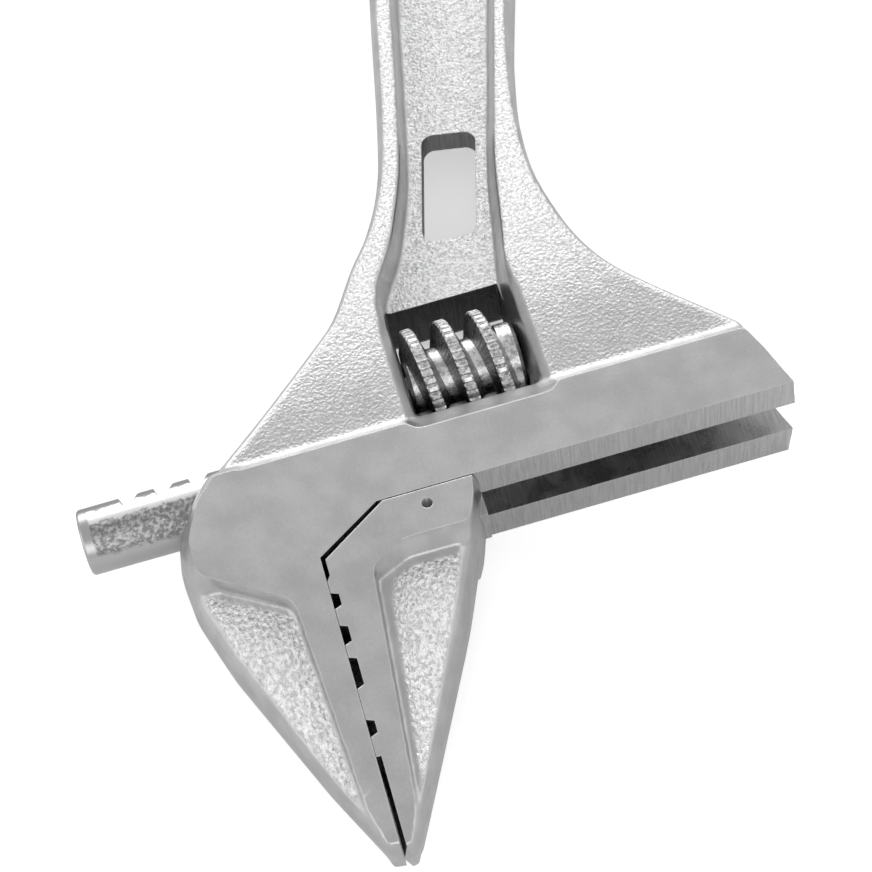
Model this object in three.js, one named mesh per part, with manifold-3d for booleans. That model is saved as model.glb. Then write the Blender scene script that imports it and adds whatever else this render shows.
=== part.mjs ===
// Light wide-opening adjustable wrench, jaws closed, lying on its back.
// Millimetres. +X is the way the movable jaw opens, +Y runs from the jaws towards the handle,
// +Z is up out of the front face. The origin is on the flat back of the head, in line with the
// fixed jaw's gripping face and with the underside that the movable jaw slides along.
// Shapes are built about the middle of the thickness and lifted at the end.
import * as THREE from 'three';
import { mergeVertices } from 'three/addons/utils/BufferGeometryUtils.js';
import Module from 'manifold-3d';

const wasm = await Module();
wasm.setup();

// ---------------------------------------------------------------- driving dimensions
const HEAD_HALF = 6.0;            // half thickness of the smooth head face
const PLATE_HALF = 5.2;           // half thickness of the rough shoulders and handle rims
const WEB_HALF = 1.25;            // half thickness of the thin web down the handle
const FLANK_ROOT_HALF = 3.9;      // half thickness of the jaws' rough flanks at the head
const TIP_HALF = 2.6;             // half thickness of both jaws at their tips
const JAW_LENGTH = 28.9;          // from the slide surface to the jaw tips
const THROAT_DEPTH = 3.7;         // where the straight gripping face starts
const THROAT_RUN = 5.9;           // width of the slanted throat
const JAW_GAP = 0.04;             // left between the closed gripping faces
const SLIDE_GAP = 0.1;            // left between the movable jaw and the slide surface

const LEAN = THREE.MathUtils.degToRad(15);   // the handle leans away from square to the jaws
const HANDLE_SHIFT = 11.3;        // handle centre line's distance from the origin
const HANDLE_END = 122;           // distance along the handle to the centre of its round end
const END_R = 10;                 // radius of the round end
const HANG_HOLE_R = 4;

const ROD_Y = 7.3;                // height of the rack rod's axis
const ROD_R = 3.0;
const ROD_LEFT = -19.75;
const ROD_RIGHT = 19.4;
const BORE_R = 3.08;
const SLOT_HALF = 2.26;           // half width of the slot the jaw's web slides in
const WEB_IN_SLOT_HALF = 2.16;
const SLOT_LEFT = 2.7;
const PITCH = 3.2;                // of the worm and of the rack
const TOOTH_DEPTH = 2.0;
const FIRST_GAP = -14.74;         // centre of the rack's first tooth gap

const WORM_Y = 13.77;             // height of the worm's axis
const WORM_R = 5.1;
const CORE_R = 2.85;
const HUB_R = 3.3;                // wider collar at the spring end of the core
const CREST = 0.95;               // width of the thread's crest
const FLANK_SLOPE = 0.3;          // the thread widens this much per millimetre of depth, each side
const CREST_AT_TOP = 12.46;       // where the first crest crosses the top of the worm
const KNURLS = 42;                // notches round one turn of the crest
const KNURL_DEPTH = 0.25;
const WINDOW = { left: 11.6, right: 22.3, bottom: 7.9, top: 21.1 };
const PIN_R = 1.0;
const PIN_CLEAR = 0.05;

// ---------------------------------------------------------------- helpers
// A polygon from corners [x, y, radius]: corners with a radius are rounded with an arc.
function rounded(corners, stepDeg = 12) {
  const ring = [];
  const n = corners.length;
  for (let i = 0; i < n; i++) {
    const [x, y, r = 0] = corners[i];
    const p = new THREE.Vector2(x, y);
    if (r === 0) {
      ring.push(p);
      continue;
    }
    const before = corners[(i + n - 1) % n];
    const after = corners[(i + 1) % n];
    const a = new THREE.Vector2(before[0] - x, before[1] - y).normalize();
    const b = new THREE.Vector2(after[0] - x, after[1] - y).normalize();
    const half = Math.acos(THREE.MathUtils.clamp(a.dot(b), -1, 1)) / 2;
    const reach = r / Math.tan(half);
    const centre = a.clone().add(b).normalize().multiplyScalar(r / Math.sin(half)).add(p);
    const start = p.clone().addScaledVector(a, reach).sub(centre);
    const end = p.clone().addScaledVector(b, reach).sub(centre);
    let sweep = end.angle() - start.angle();
    if (sweep > Math.PI) sweep -= 2 * Math.PI;
    if (sweep < -Math.PI) sweep += 2 * Math.PI;
    const steps = Math.max(2, Math.ceil(Math.abs(sweep) / THREE.MathUtils.degToRad(stepDeg)));
    for (let k = 0; k <= steps; k++) {
      const angle = start.angle() + sweep * k / steps;
      ring.push(new THREE.Vector2(centre.x + r * Math.cos(angle), centre.y + r * Math.sin(angle)));
    }
  }
  return ring;
}

// Points along a smooth curve through the given points.
function through(points, count) {
  return new THREE.SplineCurve(points.map(([x, y]) => new THREE.Vector2(x, y))).getPoints(count);
}

function circle(radius, segments, cx = 0, cy = 0) {
  const ring = [];
  for (let i = 0; i < segments; i++) {
    const angle = 2 * Math.PI * i / segments;
    ring.push(new THREE.Vector2(cx + radius * Math.cos(angle), cy + radius * Math.sin(angle)));
  }
  return ring;
}

// The anticlockwise ring moved outwards by d (inwards when d is negative).
function grown(ring, d) {
  const n = ring.length;
  return ring.map((p, i) => {
    const a = ring[(i + n - 1) % n];
    const b = ring[(i + 1) % n];
    const n1 = new THREE.Vector2(p.y - a.y, a.x - p.x).normalize();
    const n2 = new THREE.Vector2(b.y - p.y, p.x - b.x).normalize();
    const mid = n1.clone().add(n2).normalize();
    const stretch = Math.min(1 / Math.max(mid.dot(n1), 0.5), 1.6);
    return p.clone().addScaledVector(mid, d * stretch);
  });
}

// A closed solid through rings of equal length at rising heights along one axis.
const PLACE = {
  z: (a, b, c) => [a, b, c],
  x: (a, b, c) => [c, a, b],
  y: (a, b, c) => [b, c, a],
};
function loft(levels, axis = 'z') {
  const position = [];
  const index = [];
  const n = levels[0].ring.length;
  for (const { at, ring } of levels) {
    for (const p of ring) position.push(...PLACE[axis](p.x, p.y, at));
  }
  for (let k = 0; k + 1 < levels.length; k++) {
    for (let i = 0; i < n; i++) {
      const a = k * n + i;
      const b = k * n + (i + 1) % n;
      index.push(a, b, b + n, a, b + n, a + n);
    }
  }
  const last = (levels.length - 1) * n;
  for (const [i, j, k] of THREE.ShapeUtils.triangulateShape(levels[0].ring, [])) {
    index.push(i, k, j);
  }
  for (const [i, j, k] of THREE.ShapeUtils.triangulateShape(levels.at(-1).ring, [])) {
    index.push(last + i, last + j, last + k);
  }
  const geometry = new THREE.BufferGeometry();
  geometry.setAttribute('position', new THREE.Float32BufferAttribute(position, 3));
  geometry.setIndex(index);
  return solid(geometry);
}
function prism(ring, from, to, axis = 'z') {
  return loft([{ at: from, ring }, { at: to, ring }], axis);
}
// The ring moved sideways.
function shifted(ring, dx, dy) {
  return ring.map((p) => new THREE.Vector2(p.x + dx, p.y + dy));
}
// The same shape above and below the middle plane: steps are [height, growth, dx, dy] from the
// middle out.
function mirrored(ring, steps) {
  const levels = steps.map(([at, d, dx = 0, dy = 0]) => ({ at, ring: shifted(grown(ring, d), dx, dy) }));
  const lower = levels.slice(1).reverse().map((level) => ({ at: -level.at, ring: level.ring }));
  return loft([...lower, ...levels]);
}
// A turned shape along X about (y, z = 0): steps are [x, radius].
function turned(steps, y, segments = 48) {
  return loft(steps.map(([at, r]) => ({ at, ring: circle(r, segments, y, 0) })), 'x');
}

function solid(geometry) {
  const g = geometry.clone();
  g.deleteAttribute('normal');
  g.deleteAttribute('uv');
  const merged = mergeVertices(g, 1e-5);
  return new wasm.Manifold(new wasm.Mesh({
    numProp: 3,
    vertProperties: new Float32Array(merged.attributes.position.array),
    triVerts: new Uint32Array(merged.index.array),
  }));
}
function union(...parts) {
  return parts.reduce((a, b) => a.add(b));
}
function without(part, ...cuts) {
  return cuts.reduce((a, b) => a.subtract(b), part);
}

const group = new THREE.Group();
function node(name, manifold, colour, roughness, metalness) {
  const mesh = manifold.translate([0, 0, HEAD_HALF]).getMesh();
  const geometry = new THREE.BufferGeometry();
  geometry.setAttribute('position', new THREE.BufferAttribute(new Float32Array(mesh.vertProperties), 3));
  geometry.setIndex(new THREE.BufferAttribute(new Uint32Array(mesh.triVerts), 1));
  const flat = geometry.toNonIndexed();
  flat.computeVertexNormals();
  const material = new THREE.MeshStandardMaterial({ color: colour, roughness, metalness });
  const part = new THREE.Mesh(flat, material);
  part.name = name;
  group.add(part);
}

// Handle coordinates: n across the handle, s along it.
const ACROSS = [Math.cos(LEAN), -Math.sin(LEAN)];
function H(n, s) {
  return [
    (n + HANDLE_SHIFT) * Math.cos(LEAN) + s * Math.sin(LEAN),
    -(n + HANDLE_SHIFT) * Math.sin(LEAN) + s * Math.cos(LEAN),
  ];
}

// ---------------------------------------------------------------- body
// Everything the jaws' mouth takes away: right of the gripping face and below the slide surface.
const MOUTH = [
  new THREE.Vector2(0, -60),
  new THREE.Vector2(70, -60),
  new THREE.Vector2(70, 0),
  new THREE.Vector2(THROAT_RUN, 0),
  new THREE.Vector2(0, -THROAT_DEPTH),
];

// Half thickness of the jaws, falling from the head's to the tips'; drop is how far it has
// begun to fall at the curve's middle control point.
function jawWedge(rootHalf, drop) {
  const side = new THREE.QuadraticBezierCurve(
    new THREE.Vector2(0, rootHalf),
    new THREE.Vector2(-12, rootHalf - drop),
    new THREE.Vector2(-JAW_LENGTH - 1, TIP_HALF - 0.1),
  ).getPoints(10);
  const top = [new THREE.Vector2(60, rootHalf), ...side];
  const ring = [
    ...top.map((p) => p.clone()),
    ...top.map((p) => new THREE.Vector2(p.x, -p.y)).reverse(),
  ];
  return prism(ring, -30, 60, 'x');
}

// Shoulders, neck and handle, outline at the parting plane.
const leftEdge = through([
  [-7.0, 8.35], [-2.7, 11.95], [0.55, 14.8], [3.7, 17.65], [6.25, 20.2],
  H(-8.95, 26.3), H(-7.6, 30), H(-6.7, 34.5), H(-6.48, 40), H(-6.75, 48),
  H(-7.5, 61), H(-9.3, 98), [...H(-9.95, 116)],
], 44);
const rightEdge = through([
  H(9.4, 116), H(8.75, 98), H(7.05, 61), H(6.95, 50), H(7.45, 43.3), H(8.65, 36.9),
  H(11.0, 31.5), [31.0, 20.6], [32.9, 17.4], [36.0, 13.9], [38.9, 10.9], [41.3, 8.4],
], 44);
const [endX, endY] = H(-0.28, HANDLE_END);
const endArc = [];
for (let k = 0; k <= 16; k++) {
  const angle = Math.PI - LEAN - 0.16 - k * (Math.PI - 0.32) / 16;
  endArc.push(new THREE.Vector2(endX + END_R * Math.cos(angle), endY + END_R * Math.sin(angle)));
}
const plateRing = [...leftEdge, ...endArc, ...rightEdge,
  ...rounded([[42.6, 4.5], [42.9, 2.5], [-9.0, 2.5], [-8.6, 5.6]])].reverse();
// The bevel round the front face is wider on the left.
const BEVEL_SHIFT = 0.3;
const plate = mirrored(plateRing, [
  [0, 0], [4.6, -0.4, 0.6 * BEVEL_SHIFT * ACROSS[0], 0.6 * BEVEL_SHIFT * ACROSS[1]],
  [PLATE_HALF, -0.9, BEVEL_SHIFT * ACROSS[0], BEVEL_SHIFT * ACROSS[1]],
]);

// The smooth head face, stepped up from the shoulders along a gentle ramp.
const rampProfile = [[1, -6], [6.4, -6], [7.7, -5.15], [7.7, 5.15], [6.4, 6], [1, 6]]
  .map(([y, z]) => new THREE.Vector2(y, z));
const ramp = prism(rampProfile, -6.4, 41.2, 'x');
const faceRing = rounded([
  [3, -JAW_LENGTH - 0.1], [3, -4], [8, -1], [43.2, -1], [43.35, 0], [42.9, 1.3], [42.1, 4.0],
  [41.1, 6.6, 0.5],
  [-6.6, 6.6, 1.0], [-8.9, 4.9, 4], [-10.5, 1.2, 4], [-10.3, -2.1, 0.9], [-3.1, -6.7, 2.2],
  [-1.75, -25, 6], [-0.9, -JAW_LENGTH + 0.2, 0.3],
]);
const face = mirrored(faceRing, [[0, 0.4], [5.8, 0], [HEAD_HALF, -0.14]]);
const noseRing = rounded([
  [-5, -2.2], [-5, 7.0], [-7.2, 7.0, 0.8], [-8.9, 4.9, 4], [-10.5, 1.2, 4], [-10.25, -2.2, 0.8],
]);
const nose = mirrored(noseRing, [[0, 1.5], [2.4, 1.35], [4.2, 0.95], [5.4, 0.4], [HEAD_HALF, -0.14]]);

// The fixed jaw's rough flank and thin outer edge.
const flankRing = rounded([
  [3, -JAW_LENGTH - 0.1], [3, 4], [-9, 6], [-11.6, 4.2, 2], [-12.15, 0.4, 3], [-11.75, -3.6, 6],
  [-10.0, -9.1, 14], [-4.6, -21.8, 40], [-1.35, -JAW_LENGTH + 0.5], [-0.6, -JAW_LENGTH - 0.1],
]);
const CROWN = [[0, 0], [2.0, -0.15], [3.0, -0.5], [3.6, -0.95], [FLANK_ROOT_HALF, -1.5]];
const flank = mirrored(flankRing, CROWN);

const blank = union(
  plate,
  ramp,
  face.intersect(jawWedge(HEAD_HALF, 0.2)),
  nose,
  flank.intersect(jawWedge(FLANK_ROOT_HALF, 0)),
);

// The worm's window, with its wide lead-in at the bottom and the right.
function box(x0, x1, y0, y1, r) {
  return rounded([[x0, y0, r], [x1, y0, r], [x1, y1, 0.2], [x0, y1, 0.2]]);
}
const windowCut = prism(box(WINDOW.left, WINDOW.right, WINDOW.bottom, WINDOW.top, 0.3), -9, 9);
// One level of the lead-in, drawn in towards the window's top corners.
function leadRing(left, right, bottom, radius, topLeft, topRight) {
  return rounded([
    [left, bottom, radius], [right, bottom, radius], [right, 16], [(right + topRight) / 2, 19.3],
    [topRight, WINDOW.top], [topLeft, WINDOW.top], [(left + topLeft) / 2, 19.3], [left, 16],
  ]);
}
function leadIn(sign) {
  const levels = [
    { at: 4.3 * sign, ring: leadRing(11.3, 22.95, WINDOW.bottom, 0.3, 11.35, 22.9) },
    { at: PLATE_HALF * sign, ring: leadRing(10.35, 23.8, 6.75, 1.2, 11.2, 23.35) },
    { at: 6.3 * sign, ring: leadRing(10.1, 24.4, 5.35, 1.8, 11.1, 23.5) },
  ];
  return loft(sign > 0 ? levels : levels.reverse());
}

// The thin web: a drafted pocket on each side, with a slot-shaped hole through the web. The front
// pocket runs down round the window; the back one stops short of it.
const pocketRing = [
  new THREE.Vector2(WINDOW.right, 8.6),
  ...through([
    [WINDOW.right, 17], [22.5, 21.1], H(4.72, 30), H(4.2, 38.5), H(4.35, 50.5), H(4.5, 60), H(5.7, 98),
  ], 18),
  ...rounded([[...H(5.9, 104)], [...H(6.1, 110), 5], [...H(-6.6, 110), 5], [...H(-6.45, 104)]], 20),
  ...through([
    H(-6.25, 98), H(-4.54, 60), H(-4.06, 51.2), H(-3.54, 39.1), H(-3.68, 34.7), H(-4.1, 30.5),
    [13.9, 25.5], [12.8, 23.6], [11.75, 21.4], [WINDOW.left, 18],
  ], 22),
  new THREE.Vector2(WINDOW.left, 8.6),
];
const POCKET_DRAFT = 0.9;         // growth of the pocket between the web and 7 mm up
const POCKET_SHIFT = 0.35;        // the right wall leans back more than the left
function pocket(sign) {
  const low = { at: WEB_HALF * sign, ring: pocketRing };
  const mouth = grown(pocketRing, POCKET_DRAFT);
  const high = { at: 7 * sign, ring: shifted(mouth, POCKET_SHIFT * ACROSS[0], POCKET_SHIFT * ACROSS[1]) };
  return loft(sign > 0 ? [low, high] : [high, low]);
}
const BACK_POCKET_START = 28;     // distance along the handle
const backPocket = pocket(-1).intersect(prism([
  [-30, BACK_POCKET_START], [30, BACK_POCKET_START], [30, 140], [-30, 140],
].map(([n, s]) => new THREE.Vector2(...H(n, s))), -9, 0));
const webHole = prism(rounded([
  [16.93, 27.64, 1.2], [22.07, 27.22, 1.2], [25.18, 38.67, 1.2], [20.09, 39.73, 1.2],
], 15), -3, 3);
const hangHole = prism(circle(HANG_HOLE_R, 36, endX, endY), -9, 9);
function hangHoleEdge(sign) {
  const low = { at: (PLATE_HALF - 0.7) * sign, ring: circle(HANG_HOLE_R, 36, endX, endY) };
  const high = { at: (PLATE_HALF + 0.3) * sign, ring: circle(HANG_HOLE_R + 1.0, 36, endX, endY) };
  return loft(sign > 0 ? [low, high] : [high, low]);
}

// The rack rod's bore, the slot under it, and the drilling for the worm's pin.
const bore = turned([[-20, BORE_R], [60, BORE_R]], ROD_Y, 64);
const slot = prism(box(SLOT_LEFT, 60, -8, ROD_Y, 0), -SLOT_HALF, SLOT_HALF);
const PIN = { headStart: 1.7, headEnd: 3.1, threadEnd: 8.2, end: 25.4 };
const pinDrilling = turned([
  [-6, 1.6], [PIN.headEnd, 1.6], [PIN.headEnd + 0.001, 1.3], [PIN.threadEnd, 1.3],
  [PIN.threadEnd + 0.001, PIN_R + PIN_CLEAR], [PIN.end + 0.2, PIN_R + PIN_CLEAR],
], WORM_Y, 36);

const body = without(
  blank,
  prism(MOUTH, -9, 9), windowCut, leadIn(1), leadIn(-1), pocket(1), backPocket, webHole,
  hangHole, hangHoleEdge(1), hangHoleEdge(-1), bore, slot, pinDrilling,
);
node('body', body, 0xb9bbbd, 0.42, 0.9);

// ---------------------------------------------------------------- movable jaw with its rack rod
const THROAT_GAP = 0.53;
const jawFaceRing = rounded([
  [-3, -JAW_LENGTH - 0.1], [0.9, -JAW_LENGTH - 0.1, 0.3], [2.05, -26, 4], [4.2, -4.05, 3.2],
  [12.4, -4.05], [13.6, 1], [-3, 1],
]);
const jawFlankRing = rounded([
  [-3, -JAW_LENGTH - 0.1], [0.6, -JAW_LENGTH - 0.1], [1.75, -JAW_LENGTH + 0.45], [10.7, -10.9, 60],
  [14.9, -1.0, 2.2], [14.9, 3], [-3, 3],
]);
function clipped(part) {
  const keep = prism([
    new THREE.Vector2(JAW_GAP, -60),
    new THREE.Vector2(60, -60),
    new THREE.Vector2(60, -SLIDE_GAP),
    new THREE.Vector2(THROAT_RUN + 0.5, -SLIDE_GAP),
    new THREE.Vector2(JAW_GAP, -THROAT_DEPTH - THROAT_GAP),
  ], -9, 9);
  return part.intersect(keep);
}
const jawFace = mirrored(jawFaceRing, [[0, 0.35], [5.8, 0], [HEAD_HALF, -0.14]]);
// The block under the slide surface: its step leans out on the way down to the flank.
const stepTop = rounded([
  [4.0, 1], [4.0, -5.85], [7.3, -4.05, 2.5], [13.1, -4.1], [13.7, -2.95], [14.2, -1.65], [14.55, 0],
  [14.55, 1],
]);
const stepFoot = rounded([
  [4.0, 1], [4.0, -6.4], [7.1, -5.0, 2.5], [12.75, -5.05], [13.35, -3.9], [14.1, -2.3], [14.85, -0.3],
  [14.85, 1],
]);
const jawTop = loft([
  { at: -HEAD_HALF, ring: grown(stepTop, -0.14) }, { at: -HEAD_HALF + 0.3, ring: stepTop },
  { at: -FLANK_ROOT_HALF, ring: stepFoot }, { at: FLANK_ROOT_HALF, ring: stepFoot },
  { at: HEAD_HALF - 0.3, ring: stepTop }, { at: HEAD_HALF, ring: grown(stepTop, -0.14) },
]);
const jawFlank = mirrored(jawFlankRing, CROWN);
const blade = clipped(union(
  jawFace.intersect(jawWedge(HEAD_HALF, 0.2)),
  jawTop,
  jawFlank.intersect(jawWedge(FLANK_ROOT_HALF, 0)),
));

// Cross grooves in the gripping face, and the relieved stretch behind the tip: [from, to] along Y.
const GROOVES = [[-8.6, -7.1], [-11.9, -10.1], [-15.8, -13.0], [-20.0, -18.5]];
const GROOVE_DEPTH = 0.65;
function groove([from, to], depth) {
  return prism(rounded([
    [-1, from], [JAW_GAP, from], [JAW_GAP + depth, from + 0.25], [JAW_GAP + depth, to - 0.25],
    [JAW_GAP, to], [-1, to],
  ]), -9, 9);
}
// Seen from the tip the relief is a V on each side of the middle: corners are [z, x].
const TIP_RELIEF = 0.45;
function relief(sign) {
  const corners = [[0.2, -1], [9, -1], [9, TIP_RELIEF], [2.3, TIP_RELIEF], [0.2, JAW_GAP]];
  const ring = corners.map(([z, x]) => new THREE.Vector2(z * sign, x));
  return prism(sign > 0 ? ring : ring.reverse(), -JAW_LENGTH - 1, -21.7, 'y');
}
const throatRelief = prism(rounded([
  [-1, -6.0], [JAW_GAP, -6.0], [0.38, -5.5], [0.38, -3.4], [-1, -3.4],
]), -9, 9);
const punchMark = turned([[0, 0.05], [0.5, 0.55], [2, 0.55]], 0, 20)
  .rotate([0, -90, 0]).translate([10.0, -1.5, HEAD_HALF - 0.5]);

// The web that runs in the slot, and the rod with its rack teeth.
const webRing = rounded([
  [SLOT_LEFT + 0.3, -2.2], [14.95, -2.2], [14.95, ROD_Y], [SLOT_LEFT + 0.3, ROD_Y],
]);
const web = prism(webRing, -WEB_IN_SLOT_HALF, WEB_IN_SLOT_HALF);
const rod = turned([
  [ROD_LEFT, ROD_R - 0.15], [ROD_LEFT + 0.2, ROD_R], [ROD_RIGHT - 0.4, ROD_R], [ROD_RIGHT, ROD_R - 0.35],
], ROD_Y, 64);
const LEAD_ANGLE = Math.atan(PITCH / (2 * Math.PI * 4.4)) * 180 / Math.PI;
const GAP_FLOOR = 0.98;           // width of a tooth gap at its floor; its sides lean like the thread's
const GAP_MOUTH = GAP_FLOOR + 2 * FLANK_SLOPE * (TOOTH_DEPTH + 1);
const toothGap = prism([
  new THREE.Vector2(-GAP_FLOOR / 2, ROD_R - TOOTH_DEPTH),
  new THREE.Vector2(GAP_FLOOR / 2, ROD_R - TOOTH_DEPTH),
  new THREE.Vector2(GAP_MOUTH / 2, ROD_R + 1),
  new THREE.Vector2(-GAP_MOUTH / 2, ROD_R + 1),
], -5, 5).rotate([0, -LEAD_ANGLE, 0]);
const toothGaps = [];
for (let x = FIRST_GAP; x < ROD_RIGHT - 1; x += PITCH) {
  toothGaps.push(toothGap.translate([x, ROD_Y, 0]));
}
const jaw = without(
  union(blade, web, rod),
  ...toothGaps,
  ...GROOVES.map((g) => groove(g, GROOVE_DEPTH)),
  relief(1), relief(-1), throatRelief, punchMark,
);
node('movable_jaw', jaw, 0xbfc1c3, 0.4, 0.9);

// ---------------------------------------------------------------- worm
const WORM = { left: WINDOW.left + 0.1, right: WINDOW.right - 0.1, springFloor: 18.9 };
const START = THREE.MathUtils.degToRad(-15);
const END = THREE.MathUtils.degToRad(985);
const FADE = THREE.MathUtils.degToRad(50);
const ROOT_R = CORE_R - 0.3;
// Angles step through each knurl notch: land, land, notch bottom.
function threadAngles() {
  const angles = [];
  const notch = 2 * Math.PI / KNURLS;
  for (let k = Math.ceil(START / notch); (k + 1) * notch < END; k++) {
    angles.push([k * notch, 0], [(k + 0.58) * notch, 0], [(k + 0.79) * notch, KNURL_DEPTH]);
  }
  return angles;
}
function wormThread() {
  const position = [];
  const index = [];
  const rings = threadAngles();
  rings.forEach(([angle, dip]) => {
    const rise = Math.min(1, (angle - START) / FADE, (END - angle) / FADE);
    const top = ROOT_R + 0.15 + (WORM_R - ROOT_R - 0.15) * Math.max(0, rise);
    const foot = CREST / 2 + FLANK_SLOPE * (top - ROOT_R);
    const centre = CREST_AT_TOP + PITCH * angle / (2 * Math.PI);
    for (const [x, r] of [
      [centre + foot, ROOT_R],
      [centre + CREST / 2, top - dip * Math.max(0, rise)],
      [centre - CREST / 2, top - dip * Math.max(0, rise)],
      [centre - foot, ROOT_R],
    ]) {
      position.push(x, WORM_Y + r * Math.cos(angle), r * Math.sin(angle));
    }
  });
  const m = 4;
  for (let k = 0; k + 1 < rings.length; k++) {
    for (let i = 0; i < m; i++) {
      const a = k * m + i;
      const b = k * m + (i + 1) % m;
      index.push(a, b, b + m, a, b + m, a + m);
    }
  }
  const last = (rings.length - 1) * m;
  index.push(0, 2, 1, 0, 3, 2, last, last + 1, last + 2, last, last + 2, last + 3);
  const geometry = new THREE.BufferGeometry();
  geometry.setAttribute('position', new THREE.Float32BufferAttribute(position, 3));
  geometry.setIndex(index);
  return solid(geometry);
}
const HUB_START = 20.4;
const core = turned([
  [WORM.left, CORE_R - 0.3], [WORM.left + 0.3, CORE_R], [HUB_START, CORE_R], [HUB_START + 0.2, HUB_R],
  [WORM.right - 0.3, HUB_R], [WORM.right, HUB_R - 0.3],
], WORM_Y, 64);
const wormBore = turned([[0, PIN_R + 0.06], [40, PIN_R + 0.06]], WORM_Y, 36);
const springPocket = turned([[WORM.springFloor, 1.95], [40, 1.95]], WORM_Y, 36);
const thread = wormThread().intersect(turned([[WORM.left, 6], [WORM.right, 6]], WORM_Y));
node('worm', without(core.add(thread), wormBore, springPocket), 0xc6c8ca, 0.3, 0.95);

// ---------------------------------------------------------------- worm pin, a slotted screw
const pin = without(
  turned([
    [PIN.headStart, 1.35], [PIN.headStart + 0.2, 1.5], [PIN.headEnd - 0.05, 1.5],
    [PIN.headEnd - 0.04, 1.22], [PIN.threadEnd - 0.1, 1.22], [PIN.threadEnd - 0.09, PIN_R],
    [PIN.end - 0.3, PIN_R], [PIN.end, PIN_R - 0.3],
  ], WORM_Y, 36),
  prism(box(0, PIN.headStart + 0.6, WORM_Y - 2, WORM_Y + 2, 0), -0.22, 0.22),
);
node('worm_pin', pin, 0xaeb0b2, 0.35, 0.95);

// ---------------------------------------------------------------- worm spring
class Coil extends THREE.Curve {
  getPoint(t, target = new THREE.Vector3()) {
    const angle = 2 * Math.PI * 3 * t;
    const x = THREE.MathUtils.lerp(WORM.springFloor + 0.3, WINDOW.right - 0.3, t);
    return target.set(x, WORM_Y + 1.5 * Math.cos(angle), 1.5 * Math.sin(angle));
  }
}
const wire = new THREE.Shape(circle(0.23, 10));
const spring = new THREE.ExtrudeGeometry(wire, { steps: 84, bevelEnabled: false, extrudePath: new Coil() });
node('worm_spring', solid(spring), 0x9a9c9e, 0.35, 0.95);

export default group;
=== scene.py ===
import math

import bmesh
import bpy
import numpy as np
from mathutils import Matrix, Vector, noise

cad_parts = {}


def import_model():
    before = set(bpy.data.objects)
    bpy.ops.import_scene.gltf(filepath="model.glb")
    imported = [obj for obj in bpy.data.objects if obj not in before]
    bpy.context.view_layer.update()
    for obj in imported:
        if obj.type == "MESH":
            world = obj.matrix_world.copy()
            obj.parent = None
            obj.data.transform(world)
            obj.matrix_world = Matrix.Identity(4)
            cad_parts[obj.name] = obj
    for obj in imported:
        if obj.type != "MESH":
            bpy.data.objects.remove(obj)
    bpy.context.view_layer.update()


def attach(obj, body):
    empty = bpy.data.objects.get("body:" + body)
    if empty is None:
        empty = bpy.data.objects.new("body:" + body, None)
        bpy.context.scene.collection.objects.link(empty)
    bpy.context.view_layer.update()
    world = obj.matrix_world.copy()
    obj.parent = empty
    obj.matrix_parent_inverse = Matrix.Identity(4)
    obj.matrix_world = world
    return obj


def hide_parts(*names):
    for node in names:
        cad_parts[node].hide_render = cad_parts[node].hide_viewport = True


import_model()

MILLIMETRE = 0.001
THROUGH = 9                     # half height of a cutter that goes right through

# ---------------------------------------------------------------- dimensions, as in the CAD part
HEAD_HALF = 6.0                 # half thicknesses, from the middle plane
PLATE_HALF = 5.2
WEB_HALF = 1.25
FLANK_ROOT_HALF = 3.9
TIP_HALF = 2.6
JAW_LENGTH = 28.9
THROAT_DEPTH = 3.7              # the slanted corner between the jaw face and the slide
THROAT_RUN = 5.9
THROAT_GAP = 0.53
JAW_GAP = 0.04
SLIDE_GAP = 0.1
GRIND = 0.3                     # height that grinding takes off the forged head face
TIP_Y = -JAW_LENGTH - 0.1       # a little past the tips, which the grinding and cuts reach

LEAN = math.radians(15)         # of the handle, away from the fixed jaw
HANDLE_SHIFT = 11.3
HANDLE_END = 122                # of the hanging hole, along the handle
END_R = 9.97                    # a little inside the CAD part's faceted end
HANG_HOLE_R = 4

ROD_Y = 7.3
ROD_R = 3.0
ROD_LEFT = -19.75
ROD_RIGHT = 19.4
BORE_R = 3.08
SLOT_HALF = 2.26
WEB_IN_SLOT_HALF = 2.16
SLOT_LEFT = 2.7
PITCH = 3.2                     # of the worm and of the rack
TOOTH_DEPTH = 2.0
FIRST_GAP = -14.74              # middle of the leftmost gap between teeth

WORM_Y = 13.77
WORM_R = 5.1
CORE_R = 2.85
HUB_R = 3.3
HUB_START = 20.4
CREST = 0.95                    # width of the thread's crest
FLANK_SLOPE = 0.3
CREST_AT_TOP = 12.46            # where the first crest is when it faces the handle
KNURLS = 42
KNURL_DEPTH = 0.25
WINDOW_LEFT, WINDOW_RIGHT, WINDOW_BOTTOM, WINDOW_TOP = 11.6, 22.3, 7.9, 21.1
PIN_R = 1.0
PIN_CLEAR = 0.05

# Surface kinds, which are also the material slots of every mesh while it is built.
FORGED, GROUND, MACHINED, ROLLED = range(4)
WINDOW_WALL = 3                 # the body has no rolled surface, so its fourth one is this: the window's walls, darkened with painted shade
SURFACES = [bpy.data.materials.new(f"surface_{k}") for k in range(4)]


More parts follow.
